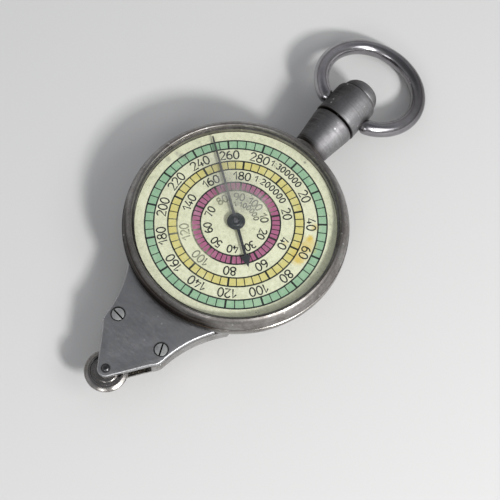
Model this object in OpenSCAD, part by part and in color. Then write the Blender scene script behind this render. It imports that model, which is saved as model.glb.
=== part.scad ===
// Map measurer: a round dial case with a tracing wheel at its tip and a
// swivelling ring on its stem. Origin on the dial axis at the flat back of the
// case, +Z out of the dial, +Y from the tracing wheel to the ring.

/* [Case] */
// Largest radius of the case side
case_r = 16.78; // [16.5:0.02:17]
// Height of the dial's face above the flat back
dial_z = 8.3; // [8.3:0.1:8.6]
// Radius of the rounded side
side_round = 3; // [2.8:0.1:3]
// Radius of the domed back in section
back_round = 10.66; // [10.6:0.02:10.8]
// Thickness of the case wall
wall = 0.9; // [0.8:0.05:0.9]
// Depth of the line between bezel and case
seam = 0.12; // [0.08:0.01:0.2]

/* [Neck] */
// Half width of the neck where its flanks leave the case
neck_w = 9.4; // [9:0.1:9.8]
// Half width of the neck at its two corners
neck_corner_w = 5.5; // [5.4:0.05:5.7]
// Distance of the neck's corners from the case axis, along the neck
neck_corner_y = 22.1; // [22:0.05:22.3]
// Distance of the neck's upper face above the flat back
neck_top = 6.7; // [6.7:0.05:6.8]
// Distance of the neck's lower face above the flat back
neck_bottom = 3.5; // [3.3:0.1:3.5]
// Thickness of the neck's screwed cover
cover_t = 0.75; // [0.7:0.05:0.75]
// Distance of the cover screws from the neck's corners, along the neck
cover_screw_back = 0.7; // [0.5:0.05:1.1]
// Half the distance between the two cover screws
cover_screw_x = 4.13; // [4:0.01:4.2]

/* [Gear train] */
// Module of the pinion and centre gear under the hand
slow_module = 0.3; // [0.3]
// Module of the second wheel, the idler and the tracing wheel's pinion
fast_module = 0.25; // [0.25]
// Teeth of the centre gear
centre_teeth = 80; // [80]
// Teeth of the pinion that drives the centre gear
second_pinion_teeth = 8; // [8]
// Teeth of the second wheel
second_teeth = 50; // [50]
// Teeth of the idler
idler_teeth = 31; // [31]
// Teeth of the tracing wheel's pinion
trace_pinion_teeth = 10; // [10]
// Extra distance between each pair of gear axes
mesh_slack = 0.05; // [0.04:0.01:0.05]
// Thickness of the gears
gear_t = 0.35; // [0.3:0.01:0.35]

/* [Tracing wheel] */
// Circumference of the tracing wheel
trace_run = 20; // [19.8:0.05:20]
// Thickness of the tracing wheel
trace_t = 0.9; // [0.8:0.05:0.9]

/* [Hand] */
// Gap between the long arm's tip and the wall around the dial
hand_gap = 0.65; // [0.5:0.05:1.5]
// Length of the arrow arm
hand_short = 7.4; // [7:0.1:7.6]
// Angle of the arrow arm from +X
hand_angle = -35.6; // [-180:0.1:180]

/* [Swivel and ring] */
// Height of the stem's axis above the flat back
stem_z = 5.4; // [5.4:0.05:5.5]
// Length of the stem outside the case
stem_len = 6.75; // [6.6:0.01:7]
// Radius of the stem at its wide end
stem_r = 3.42; // [3.3:0.01:3.45]
// Radius of the stem at the case
stem_root_r = 2.7; // [2.6:0.05:2.8]
// Radius of the swivel barrel
barrel_r = 3.5; // [3.4:0.05:3.5]
// Length of the swivel barrel
barrel_len = 5.8; // [5.7:0.05:6.2]
// Distance of the ring's pivot from the stem's end
ring_pivot = 2.8; // [2.7:0.01:2.85]
// Radius of the ring to the middle of its wire
ring_r = 8; // [7.9:0.05:8.1]
// Radius of the ring's wire
wire_r = 1.2; // [1.1:0.01:1.2]
// Angle by which the ring hangs below the stem's axis
ring_drop = 15.7; // [10:0.1:15.7]
// Turn of the swivel about the stem's axis
swivel_turn = 5; // [0:0.5:5]

/* [Fits] */
// Radial clearance of a shaft that turns in its hole
running = 0.05; // [0.04:0.01:0.06]
// Gap between faces that turn past each other
face_gap = 0.05; // [0.04:0.01:0.08]

/* [Hidden] */
$fn = 96;

// Case section: the rounded side and the domed back meet where their slope is 23 degrees
side_c = [case_r - side_round, dial_z - 0.85];
blend_angle = -23;
blend_dir = [cos(blend_angle), sin(blend_angle)];
back_c = side_c + (side_round - back_round) * blend_dir;
seam_z = dial_z - 0.1;
rim_z = dial_z + 1.5;
rim_t = 1.48;
rim_in_r = case_r - rim_t;
rim_out_r = rim_in_r + 0.38;

// Levels inside the case
plate_z = 3.95;
plate_t = 0.45;
plate_top = plate_z + plate_t;
plate_gap = 0.1;
ledge_w = 1.2;
train_z = plate_top + 0.12;
bridge_z = 6.75;
bridge_t = 0.7;
bridge_top = bridge_z + bridge_t;
centre_gear_z = 5.85;
dial_t = 0.35;
dial_edge = 0.7;
dial_hole_r = 0.8;
dial_seat_z = dial_z - dial_t;
dial_seat_t = 0.45;
bezel_lip = 1.18;
upper_bore_r = case_r - bezel_lip;
dial_r = upper_bore_r - dial_edge;
dial_seat_r = dial_r - dial_edge;
plate_r = dial_seat_r - plate_gap;
ledge_r = plate_r - ledge_w;

// Crystal
crystal_fit = 0.05;
crystal_r = rim_in_r - crystal_fit;
crystal_z = dial_z + 0.85;
crystal_t = 0.5;
crystal_dome = 0.5;
crystal_seat = 0.3;
reveal_r = crystal_r - crystal_seat;

// Neck
neck_floor = plate_z;
cover_z = neck_top - cover_t;
neck_wall = 0.55;
cover_gap = 0.03;
cover_slope = (side_radius(neck_top) - side_radius(cover_z)) / cover_t;
neck_root_y = 13;
slot_y = -neck_corner_y - 2;
tip_r = 1.25;
cover_screw_y = neck_corner_y - cover_screw_back;
flank_bow = 18;
corner_bow = 2.4;
corner_cut = 0.9;

// Gear axes along the neck
second_y = -(centre_teeth + second_pinion_teeth) * slow_module / 2 - mesh_slack;
idler_y = second_y - (second_teeth + idler_teeth) * fast_module / 2 - mesh_slack;
trace_y = idler_y - (idler_teeth + trace_pinion_teeth) * fast_module / 2 - mesh_slack;
trace_r = trace_run / (2 * PI);
trace_z = cover_z - 0.07 - trace_t;

// Gear tooth form
pressure = 24;
addendum = 0.85;
dedendum = 1.15;
tooth_play = 0.04;
idler_tip = (idler_teeth / 2 + addendum) * fast_module;
idler_gap = 0.1;

// Shafts
arbor_r = 0.5;
pivot_r = 0.3;
post_r = 0.5;
axle_r = 0.4;
bush_r = 0.7;
pillar_r = 0.65;
pillar_ring = plate_r - pillar_r - plate_gap;
pillar_angles = [40, 140, 220, 320];
screw_r = 0.35;
plate_screw_head = 0.55;
plate_screw_ring = plate_r - plate_screw_head;
plate_screw_depth = 0.6;
bridge_head_r = 0.62;
bridge_head_t = 0.35;
window_x = 6.3;
window_y = 2.5;
window_r = 3.4;
centre_hole_r = 3.3;
centre_hole_ring = arbor_r + 2.4 + centre_hole_r;

// Hand
hand_z = dial_z + 0.5;
hand_t = 0.13;
hand_long = reveal_r - hand_gap;
boss_h = 0.3;
hand_disc_r = 1.34;
hand_bore_r = 0.35;

// Stem and swivel
spigot_r = 0.7;
nut_y = plate_r + 0.15;
nut_t = 0.5;
nut_r = 1.5 * spigot_r;
nut_gap = 0.05;
stem_root = nut_y + nut_t + 0.3;
collar_r = stem_root_r + 0.35;
stem_end = case_r + stem_len;
stud_r = 1.2;
stud_head_r = 2;
stud_in = 3.75;
head_gap = 0.1;
barrel_y = stem_end + face_gap;
barrel_end = barrel_y + barrel_len;
barrel_lip = 0.05;
cap_r = barrel_r - 0.55;
cap_round = 2.05;
stud_shoulder = barrel_end - 1.4;
stud_head_t = 0.7;
ring_pivot_y = stem_end + ring_pivot;
peg_r = 1;
peg_in = 1.75;
peg_out = barrel_r + 0.55;
ring_reach = sqrt(ring_r * ring_r - peg_out * peg_out);

// Points of an arc from p to q, bulging left of the way from p to q for r > 0
function arc_between(p, q, r, n = 10) =
    let (
        d = q - p,
        l = norm(d),
        side = sign(r),
        c = (p + q) / 2 - side * sqrt(r * r - l * l / 4) * [-d[1], d[0]] / l,
        a0 = atan2(p[1] - c[1], p[0] - c[0]),
        turn = -side * 2 * asin(l / (2 * abs(r)))
    )
    [for (i = [0 : n]) c + abs(r) * [cos(a0 + turn * i / n), sin(a0 + turn * i / n)]];

// Points of an arc about c from angle a0 to angle a1
function arc(c, r, a0, a1, n = 12) =
    [for (i = [0 : n]) let (a = a0 + (a1 - a0) * i / n) c + r * [cos(a), sin(a)]];

function mirror_x(points) = [for (i = [len(points) - 1 : -1 : 0]) [-points[i][0], points[i][1]]];

// Section of the case from the axis to its outer surface, drawn in by inset, up to the height top
function case_section(inset, top) =
    let (
        side_r = side_round - inset,
        back_r = back_round - inset,
        flat_a = -asin((back_c[1] - inset) / back_r),
        top_a = asin((top - side_c[1]) / side_r)
    )
    concat(
        [[0, inset]],
        arc(back_c, back_r, flat_a, blend_angle),
        arc(side_c, side_r, blend_angle, top_a),
        [[0, top]]
    );

// Radius of the case's side at height z
function side_radius(z) = side_c[0] + sqrt(side_round * side_round - (z - side_c[1]) * (z - side_c[1]));

module case_solid(inset, top) {
    rotate_extrude($fn = 128) polygon(case_section(inset, top));
}

// Right-hand edge of the neck, from the case to the tip
function neck_edge(inset) =
    let (
        flank = [neck_w - inset, -neck_root_y],
        corner = [neck_corner_w - inset, -neck_corner_y],
        taper = [neck_corner_w - corner_cut - inset, slot_y],
        to_tip = [0, trace_y] + [tip_r, 0] - taper,
        tip_angle = atan2(to_tip[0], -to_tip[1])
    )
    concat(
        [[neck_w - inset, 0]],
        arc_between(flank, corner, -flank_bow),
        arc_between(corner, taper, corner_bow, 5),
        arc([0, trace_y], tip_r - inset / 2, tip_angle, -84, 8)
    );

module neck_outline(inset = 0) {
    polygon(concat(neck_edge(inset), mirror_x(neck_edge(inset))));
}

// Involute gear outline with a tooth on the angle `phase`
function involute(base_r, r) = let (t = sqrt(max(r * r / (base_r * base_r) - 1, 0))) t * 180 / PI - atan(t);

function gear_points(teeth, m, phase) =
    let (
        pitch = teeth * m / 2,
        base = pitch * cos(pressure),
        tip = pitch + addendum * m,
        root = pitch - dedendum * m,
        start = max(base, root),
        half = 90 / teeth - tooth_play / pitch * 90 / PI,
        radii = [start, (start + pitch) / 2, pitch, (pitch + tip) / 2, tip],
        flank = [for (r = radii) [r, half + involute(base, pitch) - involute(base, r)]],
        foot = [root, flank[0][1] + 0.2]
    )
    [for (i = [0 : teeth - 1], side = [-1, 1], k = [0 : 5])
        let (
            point = side < 0 ? (k == 0 ? foot : flank[k - 1]) : (k == 5 ? foot : flank[4 - k]),
            a = phase + i * 360 / teeth + side * max(point[1], 0.05)
        )
        point[0] * [cos(a), sin(a)]];

module gear_2d(teeth, m, phase) {
    polygon(gear_points(teeth, m, phase));
}

// A slotted screw with its head's upper face at z = 0
module slotted_screw(head_r, head_t, shank_r, length, slot_angle, slot_w) {
    difference() {
        union() {
            translate([0, 0, -head_t]) cylinder(r = head_r, h = head_t, $fn = 48);
            translate([0, 0, -length]) cylinder(r = shank_r, h = length - head_t, $fn = 32);
        }
        rotate([0, 0, slot_angle])
            translate([-head_r - 1, -slot_w / 2, -head_t * 0.45])
            cube([2 * head_r + 2, slot_w, head_t]);
    }
}

module at_pillars() {
    for (a = pillar_angles) rotate([0, 0, a]) translate([pillar_ring, 0, 0]) children();
}

// Cover screw sizes
cover_head_r = 1.05;
cover_head_t = 0.4;
cover_shank_r = 0.4;
cover_shank = 1.5;
boss_r = 0.95;

module at_cover_screws() {
    for (side = [-1, 1]) translate([side * cover_screw_x, -cover_screw_y, 0]) children();
}

module case_shell() {
    color("silver") difference() {
        union() {
            case_solid(0, seam_z);
            translate([0, 0, neck_bottom])
                linear_extrude(cover_z - neck_bottom) neck_outline();
        }
        // the round inside, in steps: back, plate seat, train, dial seat, bezel
        intersection() {
            case_solid(wall, dial_seat_z - dial_seat_t);
            union() {
                cylinder(r = ledge_r, h = seam_z);
                translate([0, 0, plate_z]) cylinder(r = case_r, h = seam_z);
            }
        }
        translate([0, 0, plate_z]) cylinder(r = dial_seat_r, h = seam_z);
        translate([0, 0, dial_seat_z]) cylinder(r = upper_bore_r, h = dial_z);
        // the inside of the neck, with its tip open at both edges
        difference() {
            translate([0, 0, neck_floor])
                linear_extrude(cover_z - neck_floor) union() {
                    neck_outline(neck_wall);
                    translate([-neck_w, slot_y - neck_w]) square([2 * neck_w, neck_w]);
                }
            at_cover_screws() translate([0, 0, neck_floor]) cylinder(r = boss_r, h = 4, $fn = 48);
        }
        at_cover_screws() translate([0, 0, cover_z - cover_shank + cover_head_t])
            cylinder(r = cover_shank_r, h = 6, $fn = 32);
        translate([0, idler_y, 0]) cylinder(r = post_r, h = 6, $fn = 32);
        translate([0, trace_y, 0]) cylinder(r = axle_r, h = 6, $fn = 32);
        // room for the idler's teeth, the stem's spigot and its nut
        translate([0, idler_y, neck_floor])
            cylinder(r = idler_tip + idler_gap, h = cover_z - neck_floor, $fn = 96);
        along_stem() {
            translate([0, 0, plate_r]) cylinder(r = spigot_r, h = case_r, $fn = 48);
            translate([0, 0, plate_r - 1]) cylinder(r = nut_r + nut_gap, h = nut_y + nut_t - plate_r + 1, $fn = 48);
        }
        for (a = [0, 180]) rotate([0, 0, a])
            translate([plate_screw_ring, 0, plate_z - plate_screw_depth])
            cylinder(r = screw_r, h = 2, $fn = 32);
    }
}

module neck_cover() {
    color("silver") difference() {
        translate([0, 0, cover_z]) linear_extrude(cover_t) neck_outline();
        // the cover's rear edge follows the side of the case
        translate([0, 0, cover_z - 1]) cylinder(
            r1 = side_radius(cover_z) + cover_gap - cover_slope, h = cover_t + 2,
            r2 = side_radius(neck_top) + cover_gap + cover_slope, $fn = 128
        );
        at_cover_screws() {
            translate([0, 0, neck_top - cover_head_t]) cylinder(r = cover_head_r, h = 2, $fn = 48);
            cylinder(r = cover_shank_r, h = 8, $fn = 32);
        }
        translate([0, trace_y, 0]) cylinder(r = axle_r, h = 8, $fn = 32);
    }
}

module cover_screws() {
    color("lightgray")
        for (screw = [[-1, -7], [1, -66]])
            translate([screw[0] * cover_screw_x, -cover_screw_y, neck_top - 0.02])
            slotted_screw(cover_head_r - 0.06, cover_head_t - 0.02, cover_shank_r,
                cover_shank + cover_t - 0.42, screw[1], 0.22);
}

module bezel() {
    rim_mid = (rim_in_r + rim_out_r) / 2;
    color("gainsboro") rotate_extrude($fn = 128) polygon(concat(
        [[upper_bore_r, dial_z], [upper_bore_r, seam_z]],
        [[side_c[0] + side_round - seam, seam_z]],
        arc(side_c, side_round, asin((seam_z + seam - side_c[1]) / side_round), 50),
        [[rim_mid, rim_z + 0.06], [rim_in_r, rim_z], [crystal_r, crystal_z + crystal_t]],
        [[crystal_r, crystal_z], [reveal_r, crystal_z], [reveal_r, dial_z]]
    ));
}

module crystal() {
    big_r = (crystal_r * crystal_r + crystal_dome * crystal_dome) / (2 * crystal_dome);
    half = asin(crystal_r / big_r);
    lift = [0, crystal_t];
    centre = [0, crystal_z + crystal_dome - big_r];
    color("lightcyan", 0.35) rotate_extrude($fn = 128) polygon(concat(
        arc(centre, big_r, 90 - half, 90, 8),
        arc(centre + lift, big_r, 90, 90 - half, 8)
    ));
}

module dial() {
    color("beige") translate([0, 0, dial_seat_z]) difference() {
        cylinder(r = dial_r, h = dial_t);
        translate([0, 0, -1]) cylinder(r = dial_hole_r, h = 3, $fn = 48);
    }
}

// Places of the two feet soldered under the dial
foot_ring = 11.2;
foot_angles = [10, 190];
foot_r = 0.4;

module dial_feet() {
    color("goldenrod") for (a = foot_angles) rotate([0, 0, a]) translate([foot_ring, 0, bridge_z + 0.1])
        cylinder(r = foot_r, h = dial_seat_z - bridge_z - 0.1, $fn = 32);
}

module bridge() {
    color("goldenrod") translate([0, 0, bridge_z]) linear_extrude(bridge_t) difference() {
        circle(plate_r, $fn = 128);
        circle(bush_r, $fn = 48);
        translate([0, second_y]) circle(bush_r, $fn = 48);
        for (a = pillar_angles) rotate(a) translate([pillar_ring, 0]) circle(screw_r, $fn = 32);
        for (a = foot_angles) rotate(a) translate([foot_ring, 0]) circle(foot_r, $fn = 32);
        // two windows that leave a bar along the neck
        for (side = [-1, 1]) translate([side * window_x, window_y]) circle(window_r, $fn = 64);
    }
}

module bridge_screws() {
    color("steelblue") for (i = [0 : 3]) rotate([0, 0, pillar_angles[i]])
        translate([pillar_ring, 0, bridge_top + bridge_head_t])
        slotted_screw(bridge_head_r, bridge_head_t, screw_r, bridge_head_t + bridge_t + 1, 35 + 50 * i, 0.15);
}

module bridge_bushes() {
    color("gold") for (axis = [[0, arbor_r], [second_y, pivot_r]])
        translate([0, axis[0], bridge_z]) difference() {
            cylinder(r = bush_r, h = bridge_t, $fn = 48);
            translate([0, 0, -1]) cylinder(r = axis[1] + running, h = 3, $fn = 48);
        }
}

module pillars() {
    color("goldenrod") at_pillars() translate([0, 0, plate_top]) difference() {
        cylinder(r = pillar_r, h = bridge_z - plate_top, $fn = 32);
        translate([0, 0, bridge_z - plate_top - 1]) cylinder(r = screw_r, h = 2, $fn = 32);
    }
}

// The main plate has a tongue into the neck that carries the second arbor
tongue_w = 2;
tongue_y = -14.6;

module main_plate() {
    color("goldenrod") translate([0, 0, plate_z]) linear_extrude(plate_t) difference() {
        union() {
            circle(plate_r - 0.1, $fn = 128);
            translate([-tongue_w, tongue_y]) square([2 * tongue_w, 4]);
        }
        circle(bush_r, $fn = 48);
        translate([0, second_y]) circle(bush_r, $fn = 48);
        for (a = [0, 180]) rotate(a) translate([plate_screw_ring, 0]) circle(screw_r, $fn = 32);
    }
}

module plate_screws() {
    color("steelblue") for (a = [0, 180]) rotate([0, 0, a])
        translate([plate_screw_ring, 0, plate_top + 0.3])
        slotted_screw(plate_screw_head, 0.3, screw_r, 0.3 + plate_t + plate_screw_depth, 20 + a / 3, 0.14);
}

module plate_bushes() {
    color("gold") for (y = [0, second_y]) translate([0, y, plate_z]) difference() {
        cylinder(r = bush_r, h = plate_t, $fn = 48);
        translate([0, 0, -1]) cylinder(r = pivot_r + running, h = 3, $fn = 48);
    }
}

// The idler turns on a post between the neck's floor and a clip
clip_t = 0.15;

module idler_post() {
    color("lightsteelblue") translate([0, idler_y, neck_bottom])
        cylinder(r = post_r, h = train_z + gear_t + face_gap + clip_t - neck_bottom, $fn = 48);
}

module idler_clip() {
    color("steelblue") translate([0, idler_y, train_z + gear_t + face_gap]) difference() {
        cylinder(r = 0.95, h = clip_t, $fn = 48);
        translate([0, 0, -1]) cylinder(r = post_r, h = 3, $fn = 48);
    }
}

module wheel_axle() {
    dome = 0.34;
    head_r = 0.55;
    ball = (head_r * head_r + dome * dome) / (2 * dome);
    color("lightsteelblue") translate([0, trace_y, 0]) {
        translate([0, 0, neck_bottom]) cylinder(r = axle_r, h = neck_top - neck_bottom, $fn = 48);
        intersection() {
            translate([0, 0, neck_top]) cylinder(r = head_r, h = dome, $fn = 48);
            translate([0, 0, neck_top + dome - ball]) sphere(r = ball, $fn = 48);
        }
    }
}

// Everything on the stem's axis is drawn along +Z and laid along +Y
module along_stem() {
    translate([0, 0, stem_z]) rotate([-90, 0, 0]) children();
}

// The flare of the stem, from just outside the case
function stem_flare() =
    [for (t = [0 : 0.125 : 1]) [
        stem_root_r + 0.05 + (stem_r - stem_root_r - 0.05) * pow(t, 1.4) * (1.35 - 0.35 * t),
        case_r + 0.6 + (stem_len - 1.15) * t
    ]];

module stem() {
    color("silver") difference() {
        along_stem() rotate_extrude($fn = 96) polygon(concat(
            [[0, nut_y], [spigot_r, nut_y], [spigot_r, stem_root], [stem_root_r, stem_root]],
            stem_flare(),
            [[stem_r, stem_end - 0.55], [stem_r - 0.07, stem_end - 0.25]],
            [[stem_r - 0.52, stem_end], [0, stem_end]]
        ));
        along_stem() translate([0, 0, stem_end - stud_in]) cylinder(r = stud_r, h = 5, $fn = 64);
        stem_seat();
    }
}

// The case's outside with room for the stem's spigot
module stem_seat() {
    difference() {
        case_solid(0, seam_z);
        along_stem() cylinder(r = spigot_r, h = 20, $fn = 48);
    }
}

module stem_collar() {
    color("gainsboro") difference() {
        along_stem() rotate_extrude($fn = 96) polygon([
            [stem_root_r, stem_root], [collar_r, stem_root], [collar_r, case_r],
            [collar_r - 0.2, case_r + 0.3], [stem_root_r, case_r + 0.4]
        ]);
        case_solid(0, rim_z);
        // the collar sits round the stem's root
        along_stem() rotate_extrude($fn = 96) polygon([
            [0, nut_y], [stem_root_r, nut_y], [stem_root_r, stem_root],
            [stem_root_r + 0.05, case_r + 0.6], [0, case_r + 0.6]
        ]);
    }
}

module stem_nut() {
    color("goldenrod") along_stem() translate([0, 0, nut_y]) difference() {
        cylinder(r = nut_r, h = nut_t, $fn = 6);
        translate([0, 0, -1]) cylinder(r = spigot_r, h = 3, $fn = 48);
    }
}

module swivel_stud() {
    color("lightsteelblue") along_stem() {
        translate([0, 0, stem_end - stud_in])
            cylinder(r = stud_r, h = stud_shoulder + face_gap - stem_end + stud_in, $fn = 64);
        translate([0, 0, stud_shoulder + face_gap]) cylinder(r = stud_head_r, h = stud_head_t, $fn = 64);
    }
}

module hand_arms() {
    rotate(hand_angle) polygon([
        [0, -0.24], [hand_short - 1.9, -0.19], [hand_short - 1.75, -0.74], [hand_short, 0],
        [hand_short - 1.75, 0.74], [hand_short - 1.9, 0.19], [0, 0.24]
    ]);
    rotate(hand_angle + 180) polygon([[0, -0.2], [hand_long, -0.1], [hand_long, 0.1], [0, 0.2]]);
}

module hand() {
    color("dimgray") translate([0, 0, hand_z]) linear_extrude(hand_t) difference() {
        union() {
            hand_arms();
            circle(hand_disc_r, $fn = 64);
        }
        circle(hand_bore_r, $fn = 32);
    }
}

module hand_boss() {
    color("goldenrod") translate([0, 0, hand_z - boss_h]) difference() {
        cylinder(r = 0.72, h = boss_h, $fn = 48);
        translate([0, 0, -1]) cylinder(r = hand_bore_r, h = 3, $fn = 32);
    }
}

module centre_arbor() {
    color("lightsteelblue") {
        translate([0, 0, plate_z]) cylinder(r = pivot_r, h = plate_t + face_gap, $fn = 48);
        translate([0, 0, plate_top + face_gap])
            cylinder(r = arbor_r, h = hand_z - boss_h - plate_top - face_gap, $fn = 48);
        translate([0, 0, hand_z - boss_h]) cylinder(r = hand_bore_r, h = boss_h + hand_t + 0.12, $fn = 32);
    }
}

module centre_gear() {
    color("gold") translate([0, 0, centre_gear_z]) linear_extrude(gear_t) difference() {
        gear_2d(centre_teeth, slow_module, -90);
        circle(arbor_r, $fn = 48);
        // four openings leave a rim, four arms and a hub
        for (a = [45 : 90 : 315]) rotate(a) translate([centre_hole_ring, 0]) circle(centre_hole_r, $fn = 48);
    }
}

module second_arbor() {
    color("lightsteelblue") translate([0, second_y, 0]) {
        translate([0, 0, plate_z]) cylinder(r = pivot_r, h = plate_t + face_gap, $fn = 48);
        translate([0, 0, plate_top + face_gap]) cylinder(r = arbor_r, h = 0.9, $fn = 48);
        // the pinion is cut in one with the arbor
        translate([0, 0, plate_top + face_gap + 0.9])
            linear_extrude(bridge_z - face_gap - (plate_top + face_gap + 0.9))
            gear_2d(second_pinion_teeth, slow_module, 90 + 180 / second_pinion_teeth);
        translate([0, 0, bridge_z - face_gap]) cylinder(r = pivot_r, h = face_gap + bridge_t, $fn = 48);
    }
}

module second_wheel() {
    color("gold") translate([0, second_y, train_z]) linear_extrude(gear_t) difference() {
        gear_2d(second_teeth, fast_module, -90);
        circle(arbor_r, $fn = 48);
        for (a = [45 : 90 : 315]) rotate(a) translate([3.2, 0]) circle(1.5, $fn = 48);
    }
}

module idler_gear() {
    color("gold") translate([0, idler_y, train_z]) linear_extrude(gear_t) difference() {
        gear_2d(idler_teeth, fast_module, 90 + 180 / idler_teeth);
        circle(post_r + running, $fn = 48);
    }
}

module tracing_wheel() {
    color("silver") translate([0, trace_y, trace_z]) difference() {
        rotate_extrude($fn = 96) polygon([
            [0, 0], [trace_r - 0.5, 0], [trace_r, 0.28], [trace_r, 0.55], [trace_r - 0.6, trace_t - 0.06],
            [trace_r - 0.9, trace_t - 0.1], [trace_r - 0.95, 0.6], [1.75, 0.6], [1.7, 0.74], [1.15, 0.74],
            [1.1, trace_t], [0, trace_t]
        ]);
        translate([0, 0, -1]) cylinder(r = axle_r + running, h = 3, $fn = 48);
    }
}

module wheel_pinion() {
    floor_gap = 0.06;
    color("goldenrod") translate([0, trace_y, neck_floor + floor_gap])
        linear_extrude(trace_z - neck_floor - floor_gap) difference() {
            gear_2d(trace_pinion_teeth, fast_module, 90 + 180 / trace_pinion_teeth);
            circle(axle_r + running, $fn = 48);
        }
}

// The barrel, its cap and the ring turn together about the stem's axis
module swivelled() {
    translate([0, 0, stem_z]) rotate([0, swivel_turn, 0]) translate([0, 0, -stem_z]) children();
}

module swivel_barrel() {
    color("silver") swivelled() difference() {
        along_stem() rotate_extrude($fn = 96) polygon([
            [0, barrel_y], [barrel_r - 0.25, barrel_y], [barrel_r + barrel_lip, barrel_y + 0.15],
            [barrel_r + barrel_lip, barrel_y + 0.35], [barrel_r, barrel_y + 0.45],
            [barrel_r, barrel_end - 0.7], [barrel_r - 0.12, barrel_end - 0.3],
            [barrel_r - 0.4, barrel_end], [0, barrel_end]
        ]);
        along_stem() cylinder(r = stud_r + running, h = barrel_end, $fn = 64);
        along_stem() translate([0, 0, stud_shoulder])
            cylinder(r = stud_head_r + head_gap, h = barrel_len, $fn = 64);
        for (side = [-1, 1]) translate([side * (peg_in - running), ring_pivot_y, stem_z])
            rotate([0, side * 90, 0]) cylinder(r = peg_r + running, h = barrel_r, $fn = 48);
    }
}

module swivel_cap() {
    color("silver") swivelled() along_stem() rotate_extrude($fn = 96) polygon(concat(
        [[0, barrel_end], [cap_r - 0.1, barrel_end]],
        arc([cap_r - cap_round, barrel_end + 0.1], cap_round, 0, 90, 8),
        [[0, barrel_end + 0.1 + cap_round]]
    ));
}

// The ring's wire ends in two pegs that turn in the barrel
module ring() {
    half_gap = asin(peg_out / ring_r);
    color("silver") swivelled() translate([0, ring_pivot_y, stem_z]) rotate([-ring_drop, 0, 0]) {
        translate([0, ring_reach, 0]) rotate([0, 0, -90 + half_gap])
            rotate_extrude(angle = 360 - 2 * half_gap, $fn = 128) translate([ring_r, 0]) circle(wire_r, $fn = 48);
        for (side = [-1, 1]) translate([side * peg_in, 0, 0])
            rotate([0, side * 90, 0]) cylinder(r = peg_r, h = peg_out - peg_in + 0.1, $fn = 48);
    }
}

case_shell();
neck_cover();
cover_screws();
bezel();
crystal();
dial();
dial_feet();
bridge();
bridge_screws();
bridge_bushes();
pillars();
main_plate();
plate_screws();
plate_bushes();
idler_post();
idler_clip();
wheel_axle();
stem();
stem_collar();
stem_nut();
swivel_stud();
hand();
hand_boss();
centre_arbor();
centre_gear();
second_arbor();
second_wheel();
idler_gear();
tracing_wheel();
wheel_pinion();
swivel_barrel();
swivel_cap();
ring();
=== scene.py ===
import math

import bmesh
import bpy
from mathutils import Matrix, Vector


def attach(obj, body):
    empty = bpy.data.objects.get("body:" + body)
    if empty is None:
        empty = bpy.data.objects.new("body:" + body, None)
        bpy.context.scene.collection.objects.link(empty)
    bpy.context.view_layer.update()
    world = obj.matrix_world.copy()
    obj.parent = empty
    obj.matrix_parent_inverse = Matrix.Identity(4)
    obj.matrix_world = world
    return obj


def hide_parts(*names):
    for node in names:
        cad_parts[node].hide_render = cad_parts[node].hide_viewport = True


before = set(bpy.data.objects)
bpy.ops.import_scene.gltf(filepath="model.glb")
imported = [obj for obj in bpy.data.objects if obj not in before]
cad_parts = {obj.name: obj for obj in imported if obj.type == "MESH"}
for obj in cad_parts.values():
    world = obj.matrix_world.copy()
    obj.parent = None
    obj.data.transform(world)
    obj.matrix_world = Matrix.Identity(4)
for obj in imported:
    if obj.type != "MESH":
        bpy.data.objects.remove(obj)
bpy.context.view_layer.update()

mm = 0.001
print("frame loaded:", len(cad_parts), "nodes")


def shifted(x, y, z):  # in mm
    return Matrix.Translation((x * mm, y * mm, z * mm))


def turnedBy(degrees, axis="Z"):
    return Matrix.Rotation(math.radians(degrees), 4, axis)


class Value:  # wraps a socket, so that maths on it is written as an expression
    def __init__(self, finish, socket):
        self.finish, self.socket = finish, socket

    def op(self, kind, *others, clamp=False):
        return self.finish.node("ShaderNodeMath", {"operation": kind, "use_clamp": clamp},
                                dict(enumerate([self, *others])))

    def __add__(self, other):
        return self.op("ADD", other)

    def __sub__(self, other):
        return self.op("SUBTRACT", other)

    def __mul__(self, other):
        return self.op("MULTIPLY", other)

    def __truediv__(self, other):
        return self.op("DIVIDE", other)

    def __rsub__(self, other):
        return (self * -1.0) + other

    __radd__, __rmul__ = __add__, __mul__

    def clamp(self):
        return self.op("ADD", 0.0, clamp=True)

    def power(self, exponent):
        return self.op("POWER", exponent)

    def above(self, low, high):  # 0 at low, 1 at high, also where low is the larger one
        return self.finish.node("ShaderNodeMapRange", {"clamp": True},
                                {"Value": self, "From Min": low, "From Max": high})

    def line(self, at, sharpness):  # 1 at a value, falling to 0 on both sides of it
        return (1 - (self - at).op("ABSOLUTE") * sharpness).clamp()


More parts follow.
